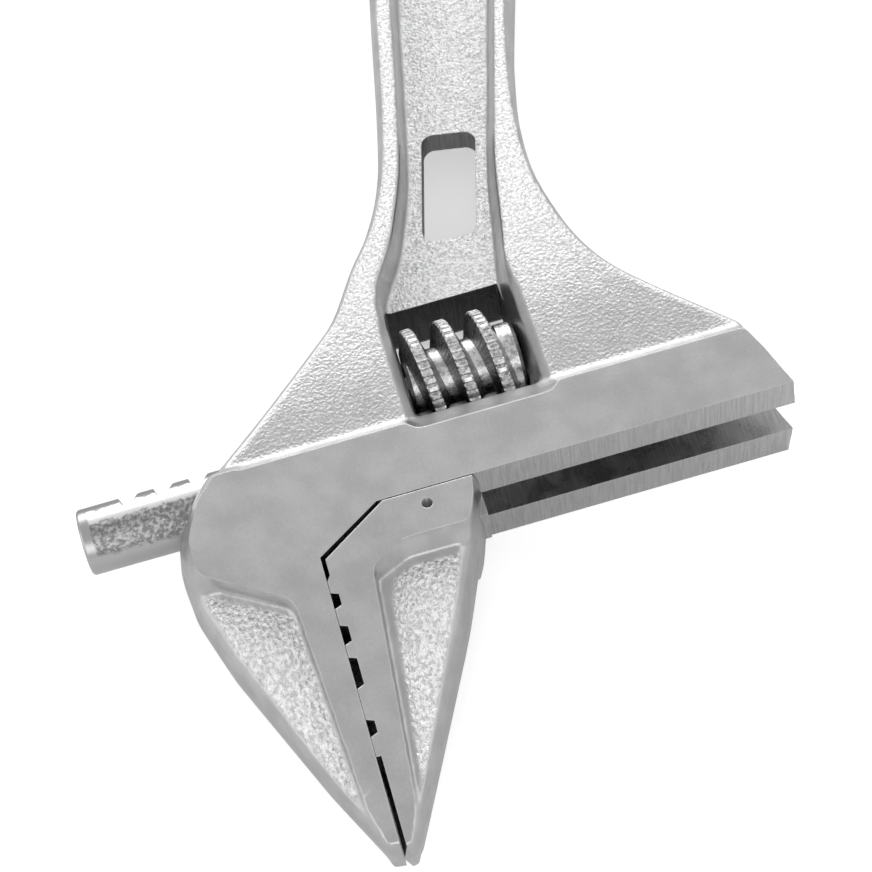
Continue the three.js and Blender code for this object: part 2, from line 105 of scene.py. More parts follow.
# ---------------------------------------------------------------- outlines
def rounded(corners, step_deg=7.5):
    """A polygon from corners (x, y) or (x, y, radius)."""
    ring = []
    count = len(corners)
    for i, (x, y, *rest) in enumerate(corners):
        p = Vector((x, y))
        if not rest:
            ring.append(p)
            continue
        r = rest[0]
        a = (Vector(corners[i - 1][:2]) - p).normalized()
        b = (Vector(corners[(i + 1) % count][:2]) - p).normalized()
        half = math.acos(max(-1, min(1, a.dot(b)))) / 2
        reach = r / math.tan(half)
        centre = p + (a + b).normalized() * (r / math.sin(half))
        start = p + a * reach - centre
        end = p + b * reach - centre
        sweep = math.atan2(start.x * end.y - start.y * end.x, start.dot(end))
        steps = max(2, math.ceil(abs(sweep) / math.radians(step_deg)))
        for k in range(steps + 1):
            t = sweep * k / steps
            turn = Vector((start.x * math.cos(t) - start.y * math.sin(t),
                           start.x * math.sin(t) + start.y * math.cos(t)))
            ring.append(centre + turn)
    return ring


def through(points, count):
    """Points along a smooth curve through the given points."""
    pts = [Vector(p) for p in points]
    last = len(pts) - 1
    curve = []
    for k in range(count + 1):
        where = last * k / count
        i = min(int(where), last - 1)
        t = where - i
        p0 = pts[max(i - 1, 0)]
        p1 = pts[i]
        p2 = pts[i + 1]
        p3 = pts[min(i + 2, last)]
        v0 = (p2 - p0) / 2
        v1 = (p3 - p1) / 2
        curve.append((2 * p1 - 2 * p2 + v0 + v1) * t ** 3
                     + (-3 * p1 + 3 * p2 - 2 * v0 - v1) * t ** 2 + v0 * t + p1)
    return curve


def circle(radius, segments, cx=0.0, cy=0.0):
    angles = [2 * math.pi * i / segments for i in range(segments)]
    return [Vector((cx + radius * math.cos(a), cy + radius * math.sin(a))) for a in angles]


def grown(ring, d):
    """The anticlockwise ring moved outwards by d."""
    out = []
    for i, p in enumerate(ring):
        a = ring[i - 1]
        b = ring[(i + 1) % len(ring)]
        n1 = Vector((p.y - a.y, a.x - p.x)).normalized()
        n2 = Vector((b.y - p.y, p.x - b.x)).normalized()
        mid = (n1 + n2).normalized()
        stretch = min(1 / max(mid.dot(n1), 0.5), 1.6)
        out.append(p + mid * (d * stretch))
    return out


def box(x0, x1, y0, y1, r=0.0):
    if r == 0:
        return [Vector(p) for p in ((x0, y0), (x1, y0), (x1, y1), (x0, y1))]
    return rounded([(x0, y0, r), (x1, y0, r), (x1, y1, 0.2), (x0, y1, 0.2)])


def H(n, s):
    """Handle coordinates: n across the handle, s along it."""
    c, d = math.cos(LEAN), math.sin(LEAN)
    return ((n + HANDLE_SHIFT) * c + s * d, -(n + HANDLE_SHIFT) * d + s * c)


# ---------------------------------------------------------------- solids
def mesh_object(name, verts, faces, surface):
    mesh = bpy.data.meshes.new(name)
    mesh.from_pydata([tuple(v) for v in verts], [], faces)
    for material in SURFACES:
        mesh.materials.append(material)
    mesh.polygons.foreach_set("material_index", [surface] * len(mesh.polygons))
    mesh.update()
    ob = bpy.data.objects.new(name, mesh)
    bpy.context.scene.collection.objects.link(ob)
    return ob


def swept_faces(rings, sides):
    """The sides and the two ends of a solid through rings of points."""
    faces = []
    for k in range(rings - 1):
        for i in range(sides):
            a = k * sides + i
            b = k * sides + (i + 1) % sides
            faces.append((a, b, b + sides, a + sides))
    last = (rings - 1) * sides
    faces.append(tuple(reversed(range(sides))))
    faces.append(tuple(range(last, last + sides)))
    return faces


PLACE = {
    "z": lambda a, b, c: (a, b, c),
    "x": lambda a, b, c: (c, a, b),
    "y": lambda a, b, c: (b, c, a),
}


def loft(levels, axis="z", surface=FORGED):
    """A closed solid through rings of equal length at rising heights along one axis."""
    verts = [PLACE[axis](p[0], p[1], at) for at, ring in levels for p in ring]
    return mesh_object("solid", verts, swept_faces(len(levels), len(levels[0][1])), surface)


def prism(ring, low, high, axis="z", surface=FORGED):
    return loft([(low, ring), (high, ring)], axis, surface)


def shifted(ring, dx, dy):
    return [p + Vector((dx, dy)) for p in ring]


def mirrored(ring, steps, surface=FORGED):
    """The same shape above and below the middle plane: steps are (height, growth, dx, dy)."""
    upper = [(at, shifted(grown(ring, d), *(move or (0, 0)))) for at, d, *move in steps]
    lower = [(-at, level) for at, level in reversed(upper[1:])]
    return loft(lower + upper, "z", surface)


def turned(steps, y, surface=MACHINED, segments=96):
    """A turned shape along X about (y, z = 0): steps are (x, radius)."""
    return loft([(at, circle(r, segments, y, 0)) for at, r in steps], "x", surface)


def flared(levels, sign, surface=FORGED):
    """A tapered cutter on the front (sign 1) or the back (sign -1): levels are (height, ring)."""
    levels = [(at * sign, ring) for at, ring in levels]
    return loft(levels if sign > 0 else levels[::-1], "z", surface)


def evaluated(ob):
    """Applies the object's modifiers."""
    depsgraph = bpy.context.evaluated_depsgraph_get()
    mesh = bpy.data.meshes.new_from_object(ob.evaluated_get(depsgraph))
    old = ob.data
    ob.modifiers.clear()
    ob.data = mesh
    bpy.data.meshes.remove(old)
    return ob


def remove(ob):
    mesh = ob.data
    bpy.data.objects.remove(ob)
    bpy.data.meshes.remove(mesh)


def boolean(target, other, operation):
    modifier = target.modifiers.new("boolean", "BOOLEAN")
    modifier.operation = operation
    modifier.solver = "MANIFOLD"
    modifier.object = other
    evaluated(target)
    remove(other)
    return target


def union(first, *others):
    for other in others:
        boolean(first, other, "UNION")
    return first


def without(first, *cutters):
    for cutter in cutters:
        boolean(first, cutter, "DIFFERENCE")
    return first


def common(first, other):
    return boolean(first, other, "INTERSECT")


def smoothstep(low, high, value):
    t = np.clip((value - low) / (high - low), 0, 1)
    return t * t * (3 - 2 * t)


def coordinates(mesh):
    co = np.empty(len(mesh.vertices) * 3)
    mesh.vertices.foreach_get("co", co)
    return co.reshape(-1, 3)


def forge(ob, voxel, soften, grain_height, step):
    """Rounds every edge and fillet of the blank, then gives its skin a forged grain.

    The grain's strength stays on the mesh as an attribute for the material to read.
    """
    remesh = ob.modifiers.new("remesh", "REMESH")
    remesh.mode = "VOXEL"
    remesh.voxel_size = voxel
    smooth = ob.modifiers.new("smooth", "SMOOTH")
    smooth.factor = 0.5
    smooth.iterations = soften
    evaluated(ob)
    mesh = ob.data
    co = coordinates(mesh)
    normals = np.empty(len(mesh.vertices) * 3)
    mesh.vertex_normals.foreach_get("vector", normals)
    normals = normals.reshape(-1, 3)
    rough = grain_mask(co, normals, step)
    height = np.zeros(len(co))
    for i in np.nonzero(rough > 0.01)[0]:
        p = Vector(co[i])
        height[i] = noise.noise(p * 0.7) * 0.5 + noise.noise(p * 2.0 + Vector((7, 3, 1))) * 0.7
    height *= grain_height * rough
    co += normals * height[:, None]
    mesh.vertices.foreach_set("co", co.ravel())
    grain = mesh.attributes.new("grain", "FLOAT", "POINT")
    grain.data.foreach_set("value", rough.astype(np.float32))
    mesh.update()
    return ob


def distance_to(line, co):
    """Each point's distance, seen from the front, to a line through corners."""
    best = np.full(len(co), 1e9)
    for (ax, ay), (bx, by) in zip(line, line[1:]):
        dx, dy = bx - ax, by - ay
        t = ((co[:, 0] - ax) * dx + (co[:, 1] - ay) * dy) / (dx * dx + dy * dy)
        t = np.clip(t, 0, 1)
        best = np.minimum(best, np.hypot(co[:, 0] - ax - t * dx, co[:, 1] - ay - t * dy))
    return best


def grain_mask(co, normals, step):
    """1 where the skin is left as forged, 0 where it is smooth: slopes and beside the step."""
    facing = smoothstep(0.84, 0.96, np.abs(normals[:, 2]))
    x, y, z = co[:, 0], co[:, 1], np.abs(co[:, 2])
    shoulder = 0.22 + 0.78 * smoothstep(8, 27, y - 0.1 * x)
    jaws = np.where(z < FLANK_ROOT_HALF + 0.4, smoothstep(0.45, 1.1, distance_to(step, co)), 0)
    return facing * np.where(y < 4, jaws, shoulder)


def finished(ob, name, body, node, surfaces, smooth_deg=28):
    """Marks the crisp edges, lifts and scales the piece, and puts it in the frame."""
    mesh = ob.data
    bm = bmesh.new()
    bm.from_mesh(mesh)
    limit = math.radians(smooth_deg)
    for edge in bm.edges:
        if len(edge.link_faces) != 2:
            continue
        a, b = edge.link_faces
        both_forged = a.material_index == FORGED and b.material_index == FORGED
        edge.smooth = both_forged or edge.calc_face_angle(0) < limit
    for face in bm.faces:
        face.smooth = True
    bm.to_mesh(mesh)
    bm.free()
    mesh.transform(Matrix.Scale(MILLIMETRE, 4) @ Matrix.Translation((0, 0, HEAD_HALF)))
    for k, material in enumerate(surfaces):
        mesh.materials[k] = material
    mesh.update()
    mesh.name = name
    ob.name = name
    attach(ob, body)
    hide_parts(node)
    return ob


# ---------------------------------------------------------------- body
SIDE_REACH = 30                 # cutters reach this far past the sides of the head


def jaw_side(root_half, drop, count=16):
    """The falling half thickness of a jaw, as points (y, half thickness)."""
    a = Vector((0, root_half))
    b = Vector((-12, root_half - drop))
    c = Vector((-JAW_LENGTH - 1, TIP_HALF - 0.1))
    points = []
    for k in range(count + 1):
        t = k / count
        points.append(a * (1 - t) ** 2 + b * 2 * t * (1 - t) + c * t * t)
    return points


def jaw_wedge(root_half, drop):
    top = [Vector((60, root_half))] + jaw_side(root_half, drop)
    under = [Vector((p.x, -p.y)) for p in reversed(top)]
    return prism(top + under, -SIDE_REACH, 2 * SIDE_REACH, "x")


def grinding(sign):
    """The ground head face: everything above it, falling away towards the jaw tips."""
    side = [Vector((60, HEAD_HALF))] + jaw_side(HEAD_HALF, 0.2)
    side.append(Vector((-45, 0.9)))
    ring = side + [Vector((-45, 12)), Vector((60, 12))]
    if sign > 0:
        ring = ring[::-1]
    else:
        ring = [Vector((p.x, -p.y)) for p in ring]
    return prism(ring, -40, 70, "x", GROUND)


def plate_outline():
    left = through([
        (-7.0, 8.35), (-2.7, 11.95), (0.55, 14.8), (3.7, 17.65), (6.25, 20.2),
        H(-8.95, 26.3), H(-7.6, 30), H(-6.7, 34.5), H(-6.48, 40), H(-6.75, 48),
        H(-7.5, 61), H(-9.3, 98), H(-9.95, 116),
    ], 90)
    right = through([
        H(9.4, 116), H(8.75, 98), H(7.05, 61), H(6.95, 50), H(7.45, 43.3), H(8.65, 36.9),
        H(11.0, 31.5), (31.0, 20.6), (32.9, 17.4), (36.0, 13.9), (38.9, 10.9), (41.3, 8.4),
    ], 90)
    cx, cy = H(-0.28, HANDLE_END)
    arc = []
    for k in range(33):
        angle = math.pi - LEAN - 0.16 - k * (math.pi - 0.32) / 32
        arc.append(Vector((cx + END_R * math.cos(angle), cy + END_R * math.sin(angle))))
    foot = rounded([(42.6, 4.5), (42.9, 2.5), (-9.0, 2.5), (-8.6, 5.6)])
    return (left + arc + right + foot)[::-1]


def pocket_outline():
    right = through([
        (WINDOW_RIGHT, 17), (22.5, 21.1), H(4.72, 30), H(4.2, 38.5), H(4.35, 50.5), H(4.5, 60),
        H(5.7, 98),
    ], 36)
    end = rounded([H(5.9, 104), (*H(6.1, 110), 5), (*H(-6.6, 110), 5), H(-6.45, 104)])
    left = through([
        H(-6.25, 98), H(-4.54, 60), H(-4.06, 51.2), H(-3.54, 39.1), H(-3.68, 34.7),
        H(-4.1, 30.5), (13.9, 25.5), (12.8, 23.6), (11.75, 21.4), (WINDOW_LEFT, 18),
    ], 44)
    return [Vector((WINDOW_RIGHT, 8.6))] + right + end + left + [Vector((WINDOW_LEFT, 8.6))]


def mouth():
    ring = [(0, -60), (70, -60), (70, 0), (THROAT_RUN, 0), (0, -THROAT_DEPTH)]
    return prism([Vector(p) for p in ring], -THROUGH, THROUGH, surface=MACHINED)


def lead_ring(left, right, bottom, radius, top_left, top_right):
    return rounded([
        (left, bottom, radius), (right, bottom, radius), (right, 16),
        ((right + top_right) / 2, 19.3), (top_right, WINDOW_TOP), (top_left, WINDOW_TOP),
        ((left + top_left) / 2, 19.3), (left, 16),
    ])


def lead_in(sign):
    return flared([
        (3.85, lead_ring(11.77, 22.53, 8.47, 0.3, 11.43, 22.68)),
        (PLATE_HALF, lead_ring(10.35, 23.8, 6.75, 1.2, 11.2, 23.35)),
        (6.6, lead_ring(10.03, 24.56, 5.06, 1.8, 11.07, 23.54)),
    ], sign)


PIN_HEAD_START, PIN_HEAD_END, PIN_THREAD_END, PIN_END = 1.7, 3.1, 8.2, 25.4
BEVEL_SHIFT = 0.3
CROWN = [(0, 0), (2.0, -0.15), (3.0, -0.5), (3.6, -0.95), (FLANK_ROOT_HALF, -1.5)]
POCKET_DRAFT = 0.9
POCKET_SHIFT = 0.35
BACK_POCKET_START = 28          # distance along the handle


def build_body():
    slide_x, slide_y = BEVEL_SHIFT * math.cos(LEAN), -BEVEL_SHIFT * math.sin(LEAN)
    plate = mirrored(plate_outline(), [
        (0, 0), (4.6, -0.4, 0.6 * slide_x, 0.6 * slide_y), (PLATE_HALF, -0.9, slide_x, slide_y),
    ])
    raised = HEAD_HALF + GRIND
    slope = 1.3 / 0.85
    profile = [(1, -raised), (6.4 - GRIND * slope, -raised), (7.7, -5.15),
               (7.7, 5.15), (6.4 - GRIND * slope, raised), (1, raised)]
    ramp = prism([Vector(p) for p in profile], -6.4, 41.2, "x")
    face = mirrored(rounded([
        (3, TIP_Y), (3, -4), (8, -1), (43.2, -1), (43.35, 0), (42.9, 1.3), (42.1, 4.0),
        (41.1, 6.6, 0.5), (-6.6, 6.6, 1.0), (-8.9, 4.9, 4), (-10.5, 1.2, 4), (-10.3, -2.1, 0.9),
        (-3.1, -6.7, 2.2), (-1.75, -25, 6), (-0.9, -JAW_LENGTH + 0.2, 0.3),
    ]), [(0, 0.4), (5.8, 0), (raised, 0)])
    nose = mirrored(rounded([
        (-5, -2.2), (-5, 7.0), (-7.2, 7.0, 0.8), (-8.9, 4.9, 4), (-10.5, 1.2, 4),
        (-10.25, -2.2, 0.8),
    ]), [(0, 1.5), (2.4, 1.35), (4.2, 0.95), (5.4, 0.4), (HEAD_HALF, -0.14), (raised, -0.5)])
    flank = mirrored(rounded([
        (3, TIP_Y), (3, 4), (-9, 6), (-11.6, 4.2, 2), (-12.15, 0.4, 3),
        (-11.75, -3.6, 6), (-10.0, -9.1, 14), (-4.6, -21.8, 40), (-1.35, -JAW_LENGTH + 0.5),
        (-0.6, TIP_Y),
    ]), CROWN)
    blank = union(
        plate, ramp, common(face, jaw_wedge(raised, 0.2)), nose,
        common(flank, jaw_wedge(FLANK_ROOT_HALF, 0)),
    )
    pocket = pocket_outline()
    pocket_mouth = shifted(grown(pocket, POCKET_DRAFT), POCKET_SHIFT * math.cos(LEAN),
                           -POCKET_SHIFT * math.sin(LEAN))
    for sign in (1, -1):
        hollow = flared([(WEB_HALF, pocket), (7, pocket_mouth)], sign)
        if sign < 0:
            corners = [(-30, BACK_POCKET_START), (30, BACK_POCKET_START), (30, 140), (-30, 140)]
            common(hollow, prism([Vector(H(n, s)) for n, s in corners], -THROUGH, 0))
        without(blank, lead_in(sign), hollow)
    end_x, end_y = H(-0.28, HANDLE_END)
    for sign in (1, -1):
        hole = circle(HANG_HOLE_R, 72, end_x, end_y)
        edge = circle(HANG_HOLE_R + 1.0, 72, end_x, end_y)
        without(blank, flared([(PLATE_HALF - 0.7, hole), (PLATE_HALF + 0.3, edge)], sign))
    step = [(-12.5, -1), (-10.3, -2.1), (-3.1, -6.7)]
    forge(blank, voxel=0.25, soften=4, grain_height=0.035, step=step)

    web_hole = rounded([
        (16.93, 27.64, 1.2), (22.07, 27.22, 1.2), (25.18, 38.67, 1.2), (20.09, 39.73, 1.2),
    ])
    window = box(WINDOW_LEFT, WINDOW_RIGHT, WINDOW_BOTTOM, WINDOW_TOP, 0.3)
    slot = box(SLOT_LEFT, 60, -8, ROD_Y)
    body = without(
        blank, grinding(1), grinding(-1), mouth(),
        prism(window, -THROUGH, THROUGH, surface=WINDOW_WALL),
        prism(web_hole, -3, 3, surface=MACHINED),
        prism(circle(HANG_HOLE_R, 72, end_x, end_y), -THROUGH, THROUGH, surface=MACHINED),
        turned([(-20, BORE_R), (60, BORE_R)], ROD_Y),
        prism(slot, -SLOT_HALF, SLOT_HALF, surface=MACHINED),
        turned([
            (-6, 1.6), (PIN_HEAD_END, 1.6), (PIN_HEAD_END + 0.001, 1.3), (PIN_THREAD_END, 1.3),
            (PIN_THREAD_END + 0.001, PIN_R + PIN_CLEAR), (PIN_END + 0.2, PIN_R + PIN_CLEAR),
        ], WORM_Y),
    )
    return finished(body, "forged_wrench_body", "frame", "body", BODY_SURFACES)


# ---------------------------------------------------------------- movable jaw
GROOVES = [(-8.6, -7.1), (-11.9, -10.1), (-15.8, -13.0), (-20.0, -18.5)]
GROOVE_DEPTH = 0.65
TIP_RELIEF = 0.45
THROAT_RELIEF = 0.38
GAP_FLOOR_HALF = 0.49           # of the gaps between the rack's teeth
MESH_R = 4.4                    # of the worm, where its thread meets the rack
PUNCH_DEPTH, PUNCH_R = 1.1, 0.5


def groove(low, high):
    deep = JAW_GAP + GROOVE_DEPTH
    ring = [(-1, low), (JAW_GAP, low), (deep, low + 0.25), (deep, high - 0.25),
            (JAW_GAP, high), (-1, high)]
    return prism([Vector(p) for p in ring], -THROUGH, THROUGH, surface=MACHINED)


def tip_relief(sign):
    """Seen from the tip the relief is a V on each side of the middle: corners are (z, x)."""
    corners = [(0.2, -1), (9, -1), (9, TIP_RELIEF), (2.3, TIP_RELIEF), (0.2, JAW_GAP)]
    ring = [Vector((z * sign, x)) for z, x in corners]
    return prism(ring[::sign], -JAW_LENGTH - 1, -21.7, "y", MACHINED)


def build_jaw():
    raised = HEAD_HALF + GRIND
    face = mirrored(rounded([
        (-3, TIP_Y), (0.9, TIP_Y, 0.3), (2.05, -26, 4), (4.2, -4.05, 3.2),
        (12.4, -4.05), (13.6, 1), (-3, 1),
    ]), [(0, 0.35), (5.8, 0), (raised, 0)])
    step_top = rounded([
        (4.0, 1), (4.0, -5.85), (7.3, -4.05, 2.5), (13.1, -4.1), (13.7, -2.95), (14.2, -1.65),
        (14.55, 0), (14.55, 1),
    ])
    step_foot = rounded([
        (4.0, 1), (4.0, -6.4), (7.1, -5.0, 2.5), (12.75, -5.05), (13.35, -3.9), (14.1, -2.3),
        (14.85, -0.3), (14.85, 1),
    ])
    top = loft([
        (-raised, grown(step_top, -0.3)), (0.3 - HEAD_HALF, step_top),
        (-FLANK_ROOT_HALF, step_foot), (FLANK_ROOT_HALF, step_foot),
        (HEAD_HALF - 0.3, step_top), (raised, grown(step_top, -0.3)),
    ])
    flank = mirrored(rounded([
        (-3, TIP_Y), (0.6, TIP_Y), (1.75, -JAW_LENGTH + 0.45),
        (10.7, -10.9, 60), (14.9, -1.0, 2.2), (14.9, 3), (-3, 3),
    ]), CROWN)
    blank = union(
        common(face, jaw_wedge(raised, 0.2)), top,
        common(flank, jaw_wedge(FLANK_ROOT_HALF, 0)),
    )
    step = [(15, -5.2), (7.1, -5.0), (5.1, -5.9), (4.2, -8), (2.05, -26), (0.9, -JAW_LENGTH)]
    forge(blank, voxel=0.2, soften=4, grain_height=0.035, step=step)
    without(blank, grinding(1), grinding(-1))
    keep = [(JAW_GAP, -60), (60, -60), (60, -SLIDE_GAP), (THROAT_RUN + 0.5, -SLIDE_GAP),
            (JAW_GAP, -THROAT_DEPTH - THROAT_GAP)]
    common(blank, prism([Vector(p) for p in keep], -THROUGH, THROUGH, surface=MACHINED))

    web_ring = box(SLOT_LEFT + 0.3, 14.95, -2.2, ROD_Y)
    web = prism(web_ring, -WEB_IN_SLOT_HALF, WEB_IN_SLOT_HALF, surface=MACHINED)
    rod = turned([
        (ROD_LEFT, ROD_R - 0.15), (ROD_LEFT + 0.2, ROD_R), (ROD_RIGHT - 0.4, ROD_R),
        (ROD_RIGHT, ROD_R - 0.35),
    ], ROD_Y, ROLLED)
    lead_angle = math.atan(PITCH / (2 * math.pi * MESH_R))
    mouth_half = GAP_FLOOR_HALF + FLANK_SLOPE * (TOOTH_DEPTH + 1)
    gaps = []
    x = FIRST_GAP
    while x < ROD_RIGHT - 1:
        gap = prism([Vector(p) for p in (
            (-GAP_FLOOR_HALF, ROD_R - TOOTH_DEPTH), (GAP_FLOOR_HALF, ROD_R - TOOTH_DEPTH),
            (mouth_half, ROD_R + 1), (-mouth_half, ROD_R + 1),
        )], -5, 5, surface=MACHINED)
        gap.data.transform(Matrix.Translation((x, ROD_Y, 0)) @ Matrix.Rotation(-lead_angle, 4, "Y"))
        gaps.append(gap)
        x += PITCH
    throat_relief = prism([Vector(p) for p in (
        (-1, -6.0), (JAW_GAP, -6.0), (THROAT_RELIEF, -5.5), (THROAT_RELIEF, -3.4), (-1, -3.4),
    )], -THROUGH, THROUGH, surface=MACHINED)
    punch_mark = [(HEAD_HALF - depth, circle(radius, 32, 10, -1.5))
                  for depth, radius in ((PUNCH_DEPTH, 0.05), (0, PUNCH_R), (-2, PUNCH_R))]
    jaw = without(
        union(blank, web, rod), *gaps, *[groove(*g) for g in GROOVES],
        tip_relief(1), tip_relief(-1), throat_relief, loft(punch_mark, surface=MACHINED),
    )
    return finished(jaw, "forged_movable_jaw", "jaw", "movable_jaw", JAW_SURFACES)


# ---------------------------------------------------------------- worm
WORM_LEFT, WORM_RIGHT, SPRING_FLOOR = WINDOW_LEFT + 0.1, WINDOW_RIGHT - 0.1, 18.9
START = math.radians(-15)               # of the thread, counted from the handle's side
END = math.radians(985)
FADE = math.radians(50)
ROOT_R = CORE_R - 0.3
LOWEST_CREST_R = ROOT_R + 0.15          # where the thread's ends fade out
CREST_BEVEL = 0.12
STEPS_PER_KNURL = 8
NOTCH_MIDDLE, NOTCH_HALF = 0.79, 0.21   # of a knurl's width


def worm_thread():
    """The knurled thread, as one closed sweep of its profile along the helix."""
    verts = []
    notch = 2 * math.pi / KNURLS
    first = math.ceil(START / notch) * STEPS_PER_KNURL
    last = math.floor(END / notch) * STEPS_PER_KNURL
    for k in range(first, last):
        angle = k * notch / STEPS_PER_KNURL
        phase = (k % STEPS_PER_KNURL) / STEPS_PER_KNURL
        dip = KNURL_DEPTH * max(0.0, 1 - abs(phase - NOTCH_MIDDLE) / NOTCH_HALF)
        rise = max(0.0, min(1.0, (angle - START) / FADE, (END - angle) / FADE))
        top = LOWEST_CREST_R + (WORM_R - LOWEST_CREST_R) * rise
        crest = top - dip * rise
        bevel = CREST_BEVEL * rise
        centre = CREST_AT_TOP + PITCH * angle / (2 * math.pi)
        foot = CREST / 2 + FLANK_SLOPE * (top - ROOT_R)
        for x, r in (
            (foot, ROOT_R),
            (CREST / 2 + FLANK_SLOPE * bevel, crest - bevel),
            (CREST / 2 - bevel, crest),
            (bevel - CREST / 2, crest),
            (-CREST / 2 - FLANK_SLOPE * bevel, crest - bevel),
            (-foot, ROOT_R),
        ):
            verts.append((centre + x, WORM_Y + r * math.cos(angle), r * math.sin(angle)))
    return mesh_object("thread", verts, swept_faces(last - first, 6), MACHINED)


def build_worm():
    core = turned([
        (WORM_LEFT, CORE_R - 0.3), (WORM_LEFT + 0.3, CORE_R), (HUB_START, CORE_R),
        (HUB_START + 0.2, HUB_R), (WORM_RIGHT - 0.3, HUB_R), (WORM_RIGHT, HUB_R - 0.3),
    ], WORM_Y, GROUND)
    thread = common(worm_thread(), turned([(WORM_LEFT, 6), (WORM_RIGHT, 6)], WORM_Y))
    worm = without(
        union(core, thread),
        turned([(0, PIN_R + 0.06), (40, PIN_R + 0.06)], WORM_Y, segments=48),
        turned([(SPRING_FLOOR, 1.95), (40, 1.95)], WORM_Y, segments=48),
    )
    return finished(worm, "knurled_worm", "adjuster", "worm", WORM_SURFACES)


# ---------------------------------------------------------------- worm pin and spring
def build_pin():
    pin = without(
        turned([
            (PIN_HEAD_START, 1.35), (PIN_HEAD_START + 0.2, 1.5), (PIN_HEAD_END - 0.05, 1.5),
            (PIN_HEAD_END - 0.04, 1.22), (PIN_THREAD_END - 0.1, 1.22),
            (PIN_THREAD_END - 0.09, PIN_R), (PIN_END - 0.3, PIN_R), (PIN_END, PIN_R - 0.3),
        ], WORM_Y, segments=48),
        prism(box(0, PIN_HEAD_START + 0.6, WORM_Y - 2, WORM_Y + 2), -0.22, 0.22,
              surface=MACHINED),
    )
    return finished(pin, "slotted_worm_pin", "frame", "worm_pin", PIN_SURFACES)


def build_spring():
    turns, steps, sides, wire, mean = 3, 144, 12, 0.23, 1.5
    start, end = SPRING_FLOOR + 0.3, WINDOW_RIGHT - 0.3
    verts = []
    for k in range(steps + 1):
        t = k / steps
        angle = 2 * math.pi * turns * t
        out = Vector((0, math.cos(angle), math.sin(angle)))
        centre = Vector((start + (end - start) * t, WORM_Y, 0)) + out * mean
        for i in range(sides):
            around = 2 * math.pi * i / sides
            verts.append(centre + out * (wire * math.cos(around))
                         + Vector((wire * math.sin(around), 0, 0)))
    spring = mesh_object("spring", verts, swept_faces(steps + 1, sides), MACHINED)
    return finished(
        spring, "worm_spring_coil", "frame", "worm_spring", PIN_SURFACES)


# ---------------------------------------------------------------- materials
class Graph:
    """A small wrapper that keeps the node graphs below readable."""

    def __init__(self, name):
        self.material = bpy.data.materials.new(name)
        self.material.use_nodes = True
        self.tree = self.material.node_tree
        self.tree.nodes.clear()

    def add(self, kind, inputs=None, **settings):
        node = self.tree.nodes.new(kind)
        for key, value in settings.items():
            setattr(node, key, value)
        for key, value in (inputs or {}).items():
            if isinstance(value, bpy.types.NodeSocket):
                self.tree.links.new(value, node.inputs[key])
            else:
                node.inputs[key].default_value = value
        return node

    def math(self, operation, a, b=0.0, c=0.0):
        node = self.add("ShaderNodeMath", {0: a, 1: b, 2: c}, operation=operation)
        return node.outputs[0]

    def between(self, value, low, high, to_low=0.0, to_high=1.0):
        node = self.add("ShaderNodeMapRange", {
            "Value": value, "From Min": low, "From Max": high, "To Min": to_low, "To Max": to_high,
        }, interpolation_type="SMOOTHSTEP")
        return node.outputs[0]

    def mix(self, factor, a, b):
        node = self.add("ShaderNodeMix", {0: factor, 2: a, 3: b}, data_type="FLOAT")
        return node.outputs[0]

    def noise(self, vector, scale, detail=2.0, roughness=0.5):
        node = self.add("ShaderNodeTexNoise", {
            "Vector": vector, "Scale": scale, "Detail": detail, "Roughness": roughness,
        })
        return node.outputs[0]

    def millimetres(self):
        coords = self.add("ShaderNodeTexCoord").outputs["Object"]
        return self.add("ShaderNodeVectorMath", {0: coords, "Scale": 1000.0},
                        operation="SCALE").outputs[0]

    def stretched(self, vector, scale):
        return self.add("ShaderNodeVectorMath", {0: vector, 1: scale},
                        operation="MULTIPLY").outputs[0]

    def metal(self, shade, roughness, normal):
        colour = self.add("ShaderNodeCombineColor", {
            0: shade, 1: shade, 2: self.math("MULTIPLY", shade, 1.004),
        })
        shader = self.add("ShaderNodeBsdfPrincipled", {
            "Base Color": colour.outputs[0], "Metallic": 1.0, "Roughness": roughness,
            "Normal": normal,
        })
        out = self.add("ShaderNodeOutputMaterial")
        self.tree.links.new(shader.outputs[0], out.inputs[0])
        return self.material


def forged_chrome():
    """Satin plating over a forged skin; the mesh says where the grain is."""
    g = Graph("forged_satin_chrome")
    mm = g.millimetres()
    rough = g.add("ShaderNodeAttribute", attribute_name="grain").outputs["Fac"]
    parts = g.add("ShaderNodeSeparateXYZ", {0: mm})
    across = g.between(parts.outputs[1], -3.0, 2.0, 0.85, 1.0)
    along = g.between(parts.outputs[1], -3.0, 2.0, 0.66, 1.0)
    drawn = g.add("ShaderNodeCombineXYZ", {
        0: g.math("MULTIPLY", parts.outputs[0], across),
        1: g.math("MULTIPLY", parts.outputs[1], along), 2: parts.outputs[2],
    }).outputs[0]
    grain = g.noise(drawn, 3.5, 3.0, 0.65)
    scale = g.add("ShaderNodeTexVoronoi", {"Vector": drawn, "Scale": 3.1, "Smoothness": 0.35},
                  feature="SMOOTH_F1").outputs[0]
    broad = g.noise(mm, 0.5, 2.0)
    height = g.math("ADD", g.math("MULTIPLY", grain, 1.0), g.math("MULTIPLY", scale, 0.5))
    bevel = g.add("ShaderNodeBevel", {"Radius": 0.00012}, samples=4)
    bump = g.add("ShaderNodeBump", {
        "Strength": g.mix(rough, 0.07, 1.0), "Distance": 0.0003, "Height": height,
        "Normal": bevel.outputs[0],
    })
    smooth_shade = g.between(broad, 0.3, 0.7, 0.50, 0.58)
    rough_shade = g.between(grain, 0.38, 0.60, 0.66, 1.0)
    roughness = g.mix(rough, 0.33, g.between(scale, 0.1, 0.6, 0.26, 0.42))
    return g.metal(g.mix(rough, smooth_shade, rough_shade), roughness, bump.outputs[0])


